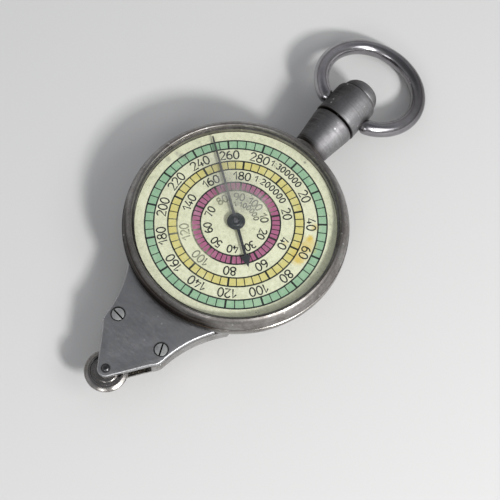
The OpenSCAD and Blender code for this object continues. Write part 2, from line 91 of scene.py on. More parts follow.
class Finish:  # adds nodes to a new material, or to a world
    def __init__(self, owner, coordinates="Object"):
        self.owner = bpy.data.materials.new(owner) if isinstance(owner, str) else owner
        self.owner.use_nodes = True
        self.tree = self.owner.node_tree
        self.shader = self.tree.nodes.get("Principled BSDF") or self.tree.nodes["Background"]
        self.place = self.node("ShaderNodeTexCoord", output=coordinates)

    def node(self, kind, settings=None, inputs=None, output=0):
        made = self.tree.nodes.new(kind)
        for key, value in (settings or {}).items():
            if key == "stops":
                self.setStops(made.color_ramp, value)
            else:
                setattr(made, key, value)
        for key, value in (inputs or {}).items():
            self.feed(made.inputs[key], value)
        return Value(self, made.outputs[output])

    def setStops(self, ramp, stops):
        while len(ramp.elements) < len(stops):
            ramp.elements.new(0.5)
        for element, (position, colour) in zip(ramp.elements, stops):
            element.position = position
            element.color = (*colour, 1)

    def feed(self, socket, value):
        if isinstance(value, Value):
            self.tree.links.new(value.socket, socket)
        elif isinstance(value, tuple) and len(value) == 3 and socket.type == "RGBA":
            socket.default_value = (*value, 1)
        else:
            socket.default_value = value

    def set(self, **inputs):
        for key, value in inputs.items():
            self.feed(self.shader.inputs[key.replace("_", " ")], value)

    def noise(self, scale, detail=3, roughness=0.5, stretch=(1, 1, 1), turn=(0, 0, 0), place=None):
        place = self.node("ShaderNodeMapping", None,
                          {"Vector": place or self.place, "Scale": stretch, "Rotation": turn})
        return self.node("ShaderNodeTexNoise", None,
                         {"Vector": place, "Scale": scale, "Detail": detail, "Roughness": roughness})

    def coordinates(self, axes):  # in mm
        return [self.node("ShaderNodeSeparateXYZ", None, {"Vector": self.place}, output=axis) / mm
                for axis in axes]

    def cells(self, scale):
        return self.node("ShaderNodeTexVoronoi", None, {"Vector": self.place, "Scale": scale})

    def away(self, place, reach):  # distance from a place, as parts of a reach, both in mm
        point = tuple(c * mm for c in place)
        return self.node("ShaderNodeVectorMath", {"operation": "DISTANCE"},
                         {0: self.place, 1: point}, output="Value") / (reach * mm)

    def ramp(self, value, stops):
        return self.node("ShaderNodeValToRGB", {"stops": stops}, {"Fac": value})

    def mix(self, first, second, factor):
        return self.node("ShaderNodeMix", {"data_type": "RGBA"}, {0: factor, 6: first, 7: second}, output=2)

    def bump(self, height, strength, depth):  # depth in mm
        return self.node("ShaderNodeBump", None,
                         {"Height": height, "Strength": strength, "Distance": depth * mm})


print("shader maths ready")


# dirt, painted shade and painted reflection: a pair is the mm where it starts and where it is full, a line
# is its mm and sharpness
dirtAndShadeLook = {
    "colour": (0.016, 0.012, 0.009),
    # where the neck meets the case: painted shade and dark reflection
    "neckRoot": (10.6, 13.0), "neckRootTop": (9.8, 9.2), "neckRootFoot": (6.2, 6.6), "neckRootShade": 0.95,
    # the crest on the window's side is darker, which dims the lamp's highlight there
    "seamLine": (8.25, 4), "rimInside": (9.3, 9.7), "rimSide": (-2, 9), "rimDarkening": 0.55, "seamDirt": 0.7,
    # on the side away from the window: painted shade and dark reflection
    "awayShadeSide": (-4, 16), "awayShadeTop": (9.3, 8.5), "awayShade": 0.45,
    "coverLine": (5.93, 4.5), "coverDirt": 0.9,
    # painted shade in the cover's screw holes and round the rivet
    "coverHoles": [((-4.13, -21.4, 6.55), 1.16), ((4.13, -21.4, 6.55), 1.16), ((0, -28.6, 6.7), 0.72)],
    "holeEdge": (1.05, 0.9), "holeShade": 0.8,
    "stemFoot": (18.3, 17.1), "stemFootDirt": 0.75, "barrelGap": (23.58, 6), "barrelGapDirt": 0.9,
    # the stem's side away from the window gets painted shade
    "capGap": (29.35, 7), "capGapDirt": 0.5, "stemLeft": (1.2, -2.4), "stemLeftShade": 0.85,
    "pegPlaces": [(-3.4, 26.33, 5.4), (3.4, 26.33, 5.4)], "pegEdge": (1.7, 1.2), "pegDirt": 0.6,
    # painted dark reflection on the far side of the ring
    "ringFar": (25.5, 29.5), "ringFarShade": 0.55,
}


def caseDirt(finish):
    # painted shade at the neck's root and on the side away from the window, dirt in the line under the
    # bezel, and a crest darkened where the lamp's highlight falls
    look = dirtAndShadeLook
    x, y, z = finish.coordinates("XYZ")
    # painted shade and dark reflection where the neck meets the case
    root = (x * -0.26 - y * 0.966).above(*look["neckRoot"]) * z.above(*look["neckRootTop"])
    root = root * z.above(*look["neckRootFoot"])
    # darker along the crest on the window's side, which dims the lamp's highlight there
    rim = z.above(*look["rimInside"]) * x.above(*look["rimSide"]) * look["rimDarkening"]
    line = z.line(*look["seamLine"]) + rim
    # painted shade and dark reflection on the side away from the window
    awayShade = (x * -0.8 - y * 0.5).above(*look["awayShadeSide"]) * z.above(*look["awayShadeTop"])
    return root * look["neckRootShade"] + line * look["seamDirt"] + awayShade * look["awayShade"]


def neckDirt(finish):
    # dirt in the line between cover and trough, and painted shade in the screw holes and round the rivet
    look = dirtAndShadeLook
    z, = finish.coordinates("Z")
    dirtAndShade = z.line(*look["coverLine"]) * look["coverDirt"]
    # painted shade in the screw holes and round the rivet
    for place, reach in look["coverHoles"]:
        dirtAndShade = dirtAndShade + finish.away(place, reach).above(*look["holeEdge"]) * look["holeShade"]
    return dirtAndShade


def stemDirt(finish):
    # dirt at the foot of the stem, in the gaps under the barrel and its cap and round the holes for the
    # ring, and painted shade on the side away from the window
    look = dirtAndShadeLook
    x, y = finish.coordinates("XY")
    dirtAndShade = y.above(*look["stemFoot"]) * look["stemFootDirt"]
    dirtAndShade = dirtAndShade + y.line(*look["barrelGap"]) * look["barrelGapDirt"]
    dirtAndShade = dirtAndShade + y.line(*look["capGap"]) * look["capGapDirt"]
    # painted shade on the side away from the window
    dirtAndShade = dirtAndShade + x.above(*look["stemLeft"]) * look["stemLeftShade"]
    for place in look["pegPlaces"]:
        dirtAndShade = dirtAndShade + finish.away(place, 1).above(*look["pegEdge"]) * look["pegDirt"]
    return dirtAndShade


def ringDirt(finish):
    # painted dark reflection: the far side of the ring is darker
    x, y = finish.coordinates("XY")
    return (x * 0.75 + y * 0.66).above(*dirtAndShadeLook["ringFar"]) * dirtAndShadeLook["ringFarShade"]


nickelLook = {
    "bright": (0.37, 0.355, 0.34), "dull": (0.20, 0.185, 0.17), "brown": (0.12, 0.08, 0.055),
    "glint": (0.8, 0.8, 0.8), "roughLow": 0.14, "roughHigh": 0.32,
    # sizes of the patterns: a larger number is a finer pattern
    "clouds": 260, "fine": 2600, "wipes": 700, "specks": 1900, "speckPatches": 420, "glints": 950,
    "glintPatches": 500, "bump": 0.35, "bumpDepth": 0.04,
}


def makeNickel(name, look, brushed=None, pits=0.25, rough=0.0, brown=0.35, worn=1.0, dirtAndShadeAt=None):
    # worn nickel plate: cloudy patches, fine wiping marks, brown specks where it is thin
    finish = Finish(name)
    clouds = finish.noise(look["clouds"], 4, 0.6)
    fine = finish.noise(look["fine"], 3, 0.6)
    wipes = finish.noise(look["wipes"], 4, 0.65, stretch=(1, 9, 1), turn=(0, 0, 0.7))
    wear = (clouds * 0.7 + fine * 0.3 * worn + 0.15 - 0.15 * worn).above(0.36, 0.66)
    colour = finish.mix(look["bright"], look["dull"], wear)
    patches = finish.noise(look["speckPatches"], 3).above(0.5, 0.66)
    specks = finish.cells(look["specks"]).above(0.16, 0.07) * patches
    colour = finish.mix(colour, look["brown"], specks * brown)
    # mixes in dirt and painted shade from the given mask
    if dirtAndShadeAt:
        dirtAndShade = dirtAndShadeAt(finish) * (clouds * 0.5 + 0.75)
        colour = finish.mix(colour, dirtAndShadeLook["colour"], dirtAndShade.clamp())
    low, high = look["roughLow"] + rough, look["roughHigh"] + rough
    roughness = wear * (high - low) * 0.7 + wipes.above(0.35, 0.75) * (high - low) * 0.6 + low
    height = fine * 0.35 * worn + wipes * 0.4 * worn - specks * pits
    if brushed:
        place = None
        if brushed.get("round"):  # lathe lines round Z follow the radius and the height alone
            x, y, z = finish.coordinates("XYZ")
            place = finish.node("ShaderNodeCombineXYZ", None, {"X": (x * x + y * y).power(0.5), "Y": z})
        lines = finish.noise(brushed["scale"], 5, 0.75, stretch=brushed["stretch"],
                             turn=brushed.get("turn", (0, 0, 0)), place=place)
        height = height * 0.5 + lines * 1.2
        roughness = roughness + lines.above(0.35, 0.7) * 0.1
        colour = finish.mix(colour, look["dull"], lines.above(0.46, 0.7) * brushed["depth"])
        patches = finish.noise(look["glintPatches"], 2).above(0.5, 0.6)
        glints = finish.cells(look["glints"]).above(0.17, 0.06) * patches
        colour = finish.mix(colour, look["glint"], glints * 0.6)
    finish.set(Base_Color=colour, Metallic=1.0, Roughness=roughness,
               Normal=finish.bump(height, look["bump"], look["bumpDepth"]))
    return finish.owner


# the colour and blend of the painted shade in a screw's slot and hole
steelLook = {"clouds": 900, "shade": 0.55, "slotShade": (0.012, 0.01, 0.008), "dirtAndShadeEdge": 0.06}


def makeSteel(name, colour, rough, dirtAndShadeBelow=0.0):
    # polished steel, with painted shade below a height in mm, as in a screw's slot and the hole round its
    # head
    finish = Finish(name)
    clouds = finish.noise(steelLook["clouds"], 4, 0.6)
    z, = finish.coordinates("Z")
    shade = finish.mix(colour, tuple(c * steelLook["shade"] for c in colour), clouds.above(0.4, 0.7))
    dirtAndShade = z.above(dirtAndShadeBelow, dirtAndShadeBelow - steelLook["dirtAndShadeEdge"])
    finish.set(Base_Color=finish.mix(shade, steelLook["slotShade"], dirtAndShade),
               Metallic=1.0, Roughness=clouds * 0.25 + rough,
               Normal=finish.bump(finish.noise(5000, 3), 0.2, 0.03))
    return finish.owner


def makeBrass(name, bright, dull):
    # brass with a soft grain, gone dull in patches
    finish = Finish(name)
    clouds = finish.noise(500, 4, 0.6)
    grain = finish.noise(3000, 3, 0.7, stretch=(1, 8, 1))
    finish.set(Base_Color=finish.mix(bright, dull, clouds.above(0.42, 0.72)),
               Metallic=1.0, Roughness=clouds * 0.2 + 0.22, Normal=finish.bump(grain, 0.25, 0.03))
    return finish.owner


# heights in mm: the dial above the back, its ink, how far the ink is sunk in it and how far lines rise
# over bands; then the turn of the print in degrees and how flat a stroke is
dialLook = {"z": 8.3, "print": 0.012, "sunk": 0.005, "lineRise": 0.006, "turn": -2.7, "strokeFlat": 0.3}
paperLook = {
    "cream": (0.71, 0.72, 0.51), "shade": (0.57, 0.58, 0.40), "stain": (0.66, 0.48, 0.08),
    "smudge": (0.20, 0.19, 0.16), "pale": (0.92, 0.93, 0.80), "dark": (0.33, 0.35, 0.24),
    "dot": (0.12, 0.11, 0.08),
    # place on the dial in mm, reach in mm and strength of each stain and smudge
    "stains": [((9.85, 5.15), 0.6, 0.95), ((10.2, 4.1), 1.5, 0.55), ((10.5, 1.4), 1.0, 0.85),
               ((10.1, 2.6), 1.7, 0.45), ((9.3, 7.0), 0.7, 0.6), ((7.6, 2.2), 0.5, 0.4)],
    "smudges": [((-13.3, 3.0), 0.55, 0.6), ((-12.7, 3.3), 0.5, 0.5), ((-14.0, 2.9), 0.4, 0.5),
                ((-14.3, 1.2), 0.5, 0.4), ((-1.8, 2.6), 0.35, 0.3), ((1.5, 14.2), 0.25, 0.8)],
    # where the print is rubbed faint
    "rubbed": [((-4.7, -5.9), 2.6, 0.55), ((-0.6, -7.4), 2.0, 0.45), ((-3.9, 1.5), 2.0, 0.5),
               ((0.8, 4.1), 2.4, 0.45), ((-2.5, 3.6), 1.5, 0.45)],
}


def near(finish, place, reach, wobble, height=0.0):
    # 1 at a place on or above the dial, falling to 0 at an uneven edge
    away = finish.away((*place, dialLook["z"] + height), reach)
    return (away + wobble * 1.2 - 0.6).above(1.15, 0.35)


def soil(finish, colour):
    # the stains and smudges, on paper and print alike
    wobble = finish.noise(1100, 3, 0.6)
    for marks, tint in (("stains", "stain"), ("smudges", "smudge")):
        for place, reach, strength in paperLook[marks]:
            colour = finish.mix(colour, paperLook[tint], near(finish, place, reach, wobble) * strength)
    return colour


def paperAge(finish, colour):
    # mottled grain, foxing, stains and small dark specks
    grain = finish.noise(1500, 6, 0.8)
    blots = finish.noise(210, 4, 0.6)
    colour = finish.mix(colour, paperLook["shade"], blots.above(0.42, 0.75) * 0.6)
    colour = finish.mix(colour, paperLook["pale"], grain.above(0.52, 0.72) * 0.5)
    colour = finish.mix(colour, paperLook["dark"], grain.above(0.49, 0.28) * 0.65)
    dots = finish.cells(800).above(0.10, 0.04) * finish.noise(330, 2).above(0.56, 0.64)
    return finish.mix(soil(finish, colour), paperLook["dot"], dots * 0.8)


def makePaper():
    finish = Finish("agedPaper")
    grain = finish.noise(5200, 4, 0.7)
    finish.set(Base_Color=paperAge(finish, paperLook["cream"]), Roughness=0.62,
               Normal=finish.bump(grain, 0.3, 0.02))
    return finish.owner


def makeInk(name, colour, light, age=0.3, soiled=True):
    # flat printing ink, mottled, with thin places where the paper shows
    finish = Finish(name)
    thin = finish.noise(1300, 6, 0.75)
    patch = finish.noise(330, 3, 0.5)
    faded = (thin.above(0.5, 0.7) * age + patch.above(0.5, 0.7) * age * 0.6).clamp()
    shade = finish.mix(colour, light, faded)
    grain = finish.noise(1700, 6, 0.8)
    shade = finish.mix(shade, tuple(c * 0.6 for c in colour), grain.above(0.47, 0.3) * 0.5)
    if soiled:
        shade = soil(finish, shade)
    else:
        wobble = finish.noise(700, 3, 0.6)
        for place, reach, strength in paperLook["rubbed"]:
            shade = finish.mix(shade, paperLook["shade"], near(finish, place, reach, wobble) * strength)
    finish.set(Base_Color=shade, Roughness=0.55, Normal=finish.bump(grain, 0.25, 0.02))
    return finish.owner


lacquerLook = {"black": (0.032, 0.036, 0.038), "faded": (0.105, 0.105, 0.085), "worn": (0.14, 0.14, 0.14)}


def makeLacquer():
    # black lacquer, rubbed and faded along the hand's tail
    finish = Finish("blackLacquer")
    x, y = finish.coordinates("XY")
    worn = finish.noise(1400, 4, 0.65).above(0.60, 0.72)
    faded = (x * -0.81 + y * 0.58).above(1.5, 4.0) * finish.noise(500, 3, 0.6).above(0.2, 0.6)
    shade = finish.mix(lacquerLook["black"], lacquerLook["faded"], faded * 0.8)
    finish.set(Base_Color=finish.mix(shade, lacquerLook["worn"], worn * 0.7),
               Roughness=worn * 0.2 + 0.38, Normal=finish.bump(finish.noise(6000, 3), 0.25, 0.03))
    return finish.owner


glassLook = {
    "clear": (0.95, 0.97, 0.96), "haze": (0.22, 0.215, 0.17), "above": 1.3,  # mm from dial to glass
    # place in mm, reach in mm and strength of each dulled patch
    "hazy": [((-1.7, 3.0), 3.0, 0.20), ((-4.4, 3.3), 2.4, 0.16), ((-7.0, 5.0), 3.0, 0.10),
             ((0.9, 3.4), 2.0, 0.16)],
    "matt": 2.6, "hair": 0.08, "smear": 0.012, "mirror": 0.8, "least": 0.03,
}


def makeGlass():
    # thin clear glass, drawn as a faint mirror that grows stronger at a slant, with hair scratches
    look = glassLook
    finish = Finish("clearGlass")
    hair = finish.noise(1300, 2, 0.5, stretch=(1, 16, 1), turn=(0, 0, 0.9)).above(0.68, 0.72)
    smear = finish.noise(150, 3, 0.5).above(0.5, 0.8)
    slant = finish.node("ShaderNodeLayerWeight", None, {"Blend": 0.5}, output="Facing").power(4)
    wobble = finish.noise(900, 4, 0.6)
    dulled = [near(finish, place, reach, wobble, look["above"]) * strength
              for place, reach, strength in look["hazy"]]
    haze = dulled[0]
    for patch in dulled[1:]:
        haze = haze + patch - haze * patch
    matt = (haze * look["matt"]).clamp()
    alpha = slant * look["mirror"] + hair * look["hair"] + smear * look["smear"] + haze + look["least"]
    finish.set(Base_Color=finish.mix(look["clear"], look["haze"], matt), Metallic=1 - matt,
               Roughness=smear * 0.08 + matt * 0.5 + 0.05, Alpha=alpha.clamp())
    return finish.owner


# fine lines: turned round an axis along Y, satin slanting over the neck, lathed round Z
turned = {"scale": 1100, "stretch": (0.04, 3.4, 0.04), "depth": 0.6}
satin = {"scale": 2600, "stretch": (1, 3.0, 1), "turn": (0, 0, 0.5), "depth": 0.6}
lathed = {"scale": 2.4, "stretch": (1, 1, 1), "round": True, "depth": 0.8}
nickels = {
    "case": {"bright": (0.36, 0.345, 0.325)},
    "bezel": {"bright": (0.40, 0.39, 0.375), "dull": (0.17, 0.155, 0.145),
              "roughLow": 0.2, "roughHigh": 0.44},
    "flank": {"bright": (0.5, 0.49, 0.48)},
    "neck": {"bright": (0.47, 0.47, 0.475), "dull": (0.40, 0.40, 0.41)},
    "stem": {"bright": (0.33, 0.325, 0.33), "dull": (0.19, 0.185, 0.19)},
    "ring": {"bright": (0.38, 0.37, 0.385), "dull": (0.25, 0.24, 0.25),
             "roughLow": 0.15, "roughHigh": 0.26},
    "wheel": {},
}
nickels = {piece: {**nickelLook, **look} for piece, look in nickels.items()}
finishes = {
    "case": makeNickel("wornNickelCase", nickels["case"], dirtAndShadeAt=caseDirt),
    "bezel": makeNickel("wornNickelBezel", nickels["bezel"], lathed, pits=0.8, worn=1.3, dirtAndShadeAt=caseDirt),
    "flank": makeNickel("polishedNickelFlank", nickels["flank"], rough=0.04, dirtAndShadeAt=neckDirt),
    "neck": makeNickel("satinNickel", nickels["neck"], satin, pits=0.5, rough=0.12, brown=0.5,
                       dirtAndShadeAt=neckDirt),
    "stem": makeNickel("turnedNickel", nickels["stem"], turned, rough=0.25, dirtAndShadeAt=stemDirt),
    "ring": makeNickel("wornNickelRing", nickels["ring"], worn=0.12, dirtAndShadeAt=ringDirt),
    "wheel": makeNickel("wheelNickel", nickels["wheel"], rough=0.03, brown=0.25),
    "coverScrew": makeSteel("coverScrewSteel", (0.86, 0.87, 0.85), 0.3, dirtAndShadeBelow=6.57),
    "screw": makeSteel("screwSteel", (0.62, 0.63, 0.62), 0.28),
    "darkSteel": makeSteel("darkSteel", (0.13, 0.13, 0.135), 0.16),
    "steel": makeSteel("arborSteel", (0.50, 0.51, 0.53), 0.2),
    "brass": makeBrass("agedBrass", (0.80, 0.60, 0.27), (0.48, 0.33, 0.13)),
    # brass darkened all over, for the gears in the neck's slot
    "darkBrass": makeBrass("oiledBrass", (0.26, 0.21, 0.12), (0.09, 0.075, 0.05)),
    "paper": makePaper(),
    "green": makeInk("greenInk", (0.27, 0.46, 0.29), (0.48, 0.62, 0.43), 0.5),
    "yellow": makeInk("yellowInk", (0.62, 0.56, 0.19), (0.72, 0.71, 0.41), 0.5),
    "magenta": makeInk("magentaInk", (0.38, 0.11, 0.21), (0.52, 0.28, 0.37), 0.5),
    "black": makeInk("blackInk", (0.010, 0.016, 0.012), (0.05, 0.06, 0.045), 0.3, soiled=False),
    "lacquer": makeLacquer(),
    "glass": makeGlass(),
}
print("finishes made:", len(finishes))


def placed(name, data):
    thing = bpy.data.objects.new(name, data)
    bpy.context.scene.collection.objects.link(thing)
    return thing


def addPiece(mesh, body, finish, replaces=(), smooth=True, angle=32):
    # the piece is named as its mesh
    piece = placed(mesh.name, mesh)
    mesh.materials.clear()
    mesh.materials.append(finishes[finish])
    if smooth:
        mesh.shade_smooth()
        mesh.set_sharp_from_angle(angle=math.radians(angle))
    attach(piece, body)
    if replaces:
        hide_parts(*replaces)


weld = 0.0005 * mm  # points nearer than this are one


def toMesh(name, shape, matrix=None):
    bmesh.ops.remove_doubles(shape, verts=shape.verts, dist=weld)
    bmesh.ops.recalc_face_normals(shape, faces=shape.faces)
    if matrix is not None:
        bmesh.ops.transform(shape, matrix=matrix, verts=shape.verts)
    mesh = bpy.data.meshes.new(name)
    shape.to_mesh(mesh)
    shape.free()
    return mesh


def spinProfile(points, steps, closed=True):
    # turns (radius, height) points in mm about Z
    shape = bmesh.new()
    verts = [shape.verts.new((r * mm, 0, z * mm)) for r, z in points]
    edges = [shape.edges.new(pair) for pair in zip(verts, verts[1:])]
    if closed:
        edges.append(shape.edges.new((verts[-1], verts[0])))
    bmesh.ops.spin(shape, geom=verts + edges, cent=(0, 0, 0), axis=(0, 0, 1), angle=2 * math.pi,
                   steps=steps, use_merge=True)
    bmesh.ops.remove_doubles(shape, verts=shape.verts, dist=weld)
    return shape


def rounded(points, radius, count=3):
    # a closed outline with its corners rounded off, apart from points on the axis and faint bends
    faintBend, most = 0.25, 0.45  # radians, and the part of a side that one corner may take
    out = []
    for before, here, after in zip(points[-1:] + points[:-1], points, points[1:] + points[:1]):
        here = Vector(here)
        toBefore, toAfter = Vector(before) - here, Vector(after) - here
        size = min(radius, toBefore.length * most, toAfter.length * most)
        bend = toBefore.angle(-toAfter) if toBefore.length and toAfter.length else 0
        if bend < faintBend or here.x == 0:
            out.append(tuple(here))
            continue
        start, end = here + toBefore.normalized() * size, here + toAfter.normalized() * size
        for step in range(count + 1):
            t = step / count
            out.append(tuple(start * (1 - t) ** 2 + here * (2 * t * (1 - t)) + end * t * t))
    return out


def loop(cx, cy, rx, ry, first, last, count=16):
    # points of an ellipse, from one angle in degrees to another
    angles = [math.radians(first + (last - first) * i / count) for i in range(count + 1)]
    return [(cx + rx * math.cos(a), cy + ry * math.sin(a)) for a in angles]


def arc(cx, cy, radius, first, last, count=16):
    return loop(cx, cy, radius, radius, first, last, count)


def extrudeOutline(points, low, high, edge, segments=3, keep=None):
    # a flat plate from an outline in mm, with its upper and lower edges rounded, or only those to keep
    shape = bmesh.new()
    face = shape.faces.new([shape.verts.new((x * mm, y * mm, low * mm)) for x, y in points])
    made = bmesh.ops.extrude_face_region(shape, geom=[face])
    raised = [v for v in made["geom"] if isinstance(v, bmesh.types.BMVert)]
    bmesh.ops.translate(shape, verts=raised, vec=(0, 0, (high - low) * mm))
    bmesh.ops.recalc_face_normals(shape, faces=shape.faces)
    flat = [e for e in shape.edges if abs(e.verts[0].co.z - e.verts[1].co.z) < weld]
    flat = [e for e in flat if keep is None or keep(e)]
    bmesh.ops.bevel(shape, geom=flat, offset=edge * mm, affect="EDGES", segments=segments,
                    profile=0.5, material=-1, clamp_overlap=True)
    return shape


def joinShapes(*shapes):
    whole = bmesh.new()
    for shape in shapes:
        mesh = bpy.data.meshes.new("part")
        shape.to_mesh(mesh)
        shape.free()
        whole.from_mesh(mesh)
        bpy.data.meshes.remove(mesh)
    return whole


def cutMesh(name, mesh, cutters):
    # cuts holes and slots, and gives back a plain mesh
    holder = placed(name + "Blank", mesh)
    tools = []
    for cutter in cutters:
        tool = placed(name + "Tool", cutter)
        modifier = holder.modifiers.new("cut", "BOOLEAN")
        modifier.operation, modifier.solver, modifier.object = "DIFFERENCE", "EXACT", tool
        tools.append(tool)
    graph = bpy.context.evaluated_depsgraph_get()
    cut = bpy.data.meshes.new_from_object(holder.evaluated_get(graph))
    cut.name = name
    for thing in [holder, *tools]:
        bpy.data.objects.remove(thing)
    return cut


def drill(radius, length, place):
    # a round cutter along a place's own Z
    shape = bmesh.new()
    bmesh.ops.create_cone(shape, cap_ends=True, segments=64, radius1=radius * mm, radius2=radius * mm,
                          depth=length * mm, matrix=place)
    return toMesh("drill", shape)


def block(*sizes):
    # a box in mm, round its centre
    shape = bmesh.new()
    bmesh.ops.create_cube(shape, size=mm)
    bmesh.ops.scale(shape, vec=sizes, verts=shape.verts)
    return shape


caseLook = {
    # radius, then the round of the belly and of the back, in mm, and the angle where they meet
    "r": 16.78, "round": 3.0, "backRound": 10.66, "belly": 7.45, "blend": -23.0,
    "seam": 8.2, "chamfer": (0.14, 0.12), "boreTop": 15.6, "wall": 0.9,
    # radius and height of the steps inside that carry the dial and the train
    "dialSeat": (14.2, 7.95), "trainSeat": (12.9, 3.95), "well": (8.0, 2.6),
}


def makeCase():
    # the round body; the neck's trough, made next, replaces the solid for both
    look = caseLook
    cx = look["r"] - look["round"]
    blend = math.radians(look["blend"])
    bx = cx + (look["round"] - look["backRound"]) * math.cos(blend)
    bz = look["belly"] + (look["round"] - look["backRound"]) * math.sin(blend)
    flat = -math.degrees(math.asin(bz / look["backRound"]))
    top = math.degrees(math.asin((look["seam"] - look["belly"]) / look["round"]))
    outer = arc(bx, bz, look["backRound"], flat, look["blend"], 30)
    outer += arc(cx, look["belly"], look["round"], look["blend"], top, 14)[1:]
    seamR, seamZ = outer.pop()
    chamferR, chamferZ = look["chamfer"]
    outer += [(seamR, seamZ - chamferZ), (seamR - chamferR, seamZ)]
    (dialR, dialZ), (trainR, trainZ), (wellR, wellZ) = look["dialSeat"], look["trainSeat"], look["well"]
    inner = [(look["boreTop"], look["seam"]), (look["boreTop"], dialZ), (dialR, dialZ), (dialR, trainZ),
             (trainR, trainZ), (trainR, wellZ), (wellR, look["wall"]), (0, look["wall"])]
    mesh = toMesh("caseBody", spinProfile([(0, 0)] + outer + inner, 220, closed=False))
    addPiece(mesh, "case", "case")


neckLook = {
    # half widths and distances from the case's axis, then heights and walls, in mm
    "w": 9.4, "root": 13.0, "cornerW": 5.5, "cornerY": 22.1, "cut": 0.9, "drop": 2.0,
    "flankBow": 18.0, "cornerBow": 2.4, "tip": 1.25, "tipY": 28.6, "bottom": 3.5, "floor": 3.95,
    "split": 5.95, "top": 6.7, "wall": 0.55, "edge": 0.3, "gap": 0.11, "floorEdge": 0.12,
    "inCase": -9, "rear": 16.46,  # where the trough ends in the case, and the cover at the case's side
    "screwX": 4.13, "screwY": 21.4, "holeLow": 6.28, "holeR": 1.07, "holePast": 0.5,
    # what tells the edges to round: short and far out, high and past the case, near the outline
    "tipEdge": 1.2, "tipFrom": -24.2, "coverFrom": 6.3, "casePast": 16.6, "flankNear": 0.25,
}


def bow(p, q, radius, count=12):
    # points of an arc from p to q, bulging left of the way for radius > 0
    p, q = Vector(p), Vector(q)
    d, side = q - p, math.copysign(1, radius)
    c = (p + q) / 2 - Vector((-d.y, d.x)).normalized() * side * math.sqrt(radius ** 2 - d.length ** 2 / 4)
    first = math.degrees(math.atan2(p.y - c.y, p.x - c.x))
    turn = -side * 2 * math.degrees(math.asin(d.length / (2 * abs(radius))))
    return arc(c.x, c.y, abs(radius), first, first + turn, count)


def neckEdge(inset):
    # the neck's side and the round of its tip
    look = neckLook
    flank = (look["w"] - inset, -look["root"])
    corner = (look["cornerW"] - inset, -look["cornerY"])
    taper = (look["cornerW"] - look["cut"] - inset, -look["cornerY"] - look["drop"])
    toTip = (look["tip"] - taper[0], -look["tipY"] - taper[1])
    first = math.degrees(math.atan2(toTip[0], -toTip[1]))
    side = bow(flank, corner, -look["flankBow"], 16) + bow(corner, taper, look["cornerBow"], 6)[1:]
    return side, arc(0, -look["tipY"], look["tip"] - inset / 2, first, -90, 9)


def mirrored(points):
    return [(-x, y) for x, y in reversed(points)]


def onTip(edge):
    # true on the short edges round the tip of the trough's floor
    look = neckLook
    return edge.calc_length() < look["tipEdge"] * mm and edge.verts[0].co.y < look["tipFrom"] * mm


def onCoverEdge(edge):
    # true on the cover's upper edge, apart from where it meets the case
    look = neckLook
    away = math.hypot(*(edge.verts[0].co + edge.verts[1].co).xy) / 2
    return edge.verts[0].co.z > look["coverFrom"] * mm and away > look["casePast"] * mm


def onFlank(edge):
    # true on the outer edge of the neck, where the wall is rounded
    middle = (edge.verts[0].co + edge.verts[1].co) / 2 / mm
    place = Vector((abs(middle.x), middle.y))
    return min((Vector(p) - place).length for p in neckEdge(0)[0]) < neckLook["flankNear"]


def makeNeck():
    look = neckLook
    (side, tip), (sideIn, _) = neckEdge(0), neckEdge(look["wall"])
    outerEnd, innerEnd = (look["w"], look["inCase"]), (look["w"] - look["wall"], look["inCase"])
    floor = [innerEnd] + sideIn + [side[-1]] + tip
    floor += mirrored(floor)[1:]
    parts = [extrudeOutline(floor, look["bottom"], look["floor"], look["floorEdge"], 2, keep=onTip)]
    for flip in (1, -1):
        strip = [outerEnd] + side + list(reversed(sideIn)) + [innerEnd]
        strip = [(flip * x, y) for x, y in strip]
        parts.append(extrudeOutline(strip, look["bottom"], look["split"] - look["gap"], look["edge"], 5,
                                    keep=onFlank))
    mesh = toMesh("neckTrough", joinShapes(*parts))
    addPiece(mesh, "case", "flank", ["case_shell"])


def makeNeckCover():
    look = neckLook
    rear = look["rear"]
    side, tip = neckEdge(0)
    outline = [p for p in side if math.hypot(*p) > rear] + tip
    first = math.degrees(math.atan2(outline[0][1], outline[0][0]))
    outline += mirrored(outline)[1:]
    outline += arc(0, 0, rear, -180 - first, first, 40)
    shape = extrudeOutline(outline, look["split"], look["top"], look["edge"], 4, keep=onCoverEdge)
    low, high = look["holeLow"], look["top"] + look["holePast"]
    holes = [drill(look["holeR"], high - low,
                   shifted(side * look["screwX"], -look["screwY"], (low + high) / 2)) for side in (-1, 1)]
    mesh = cutMesh("neckCover", toMesh("coverBlank", shape), holes)
    addPiece(mesh, "case", "neck", ["neck_cover"])


screwLook = {"head": 0.95, "low": 6.15, "top": 6.6, "crown": 0.05, "edge": 0.1,
             "slotW": 0.24, "slotLong": 3, "slotDepth": 0.3, "turns": (-7, -66)}


def makeCoverScrews():
    look = screwLook
    shapes = []
    for side, turn in zip((-1, 1), look["turns"]):
        outline = rounded([(0, look["low"]), (look["head"], look["low"]), (look["head"], look["top"]),
                           (0, look["top"] + look["crown"])], look["edge"])
        blank = toMesh("screwBlank", spinProfile(outline, 64))
        slot = block(look["slotLong"], look["slotW"], 2 * look["slotDepth"])
        place = shifted(0, 0, look["top"] + look["crown"]) @ turnedBy(turn)
        screw = cutMesh("screw", blank, [toMesh("slot", slot, place)])
        screw.transform(shifted(side * neckLook["screwX"], -neckLook["screwY"], 0))
        shape = bmesh.new()
        shape.from_mesh(screw)
        shapes.append(shape)
    mesh = toMesh("coverScrews", joinShapes(*shapes))
    addPiece(mesh, "case", "coverScrew", ["cover_screws"])


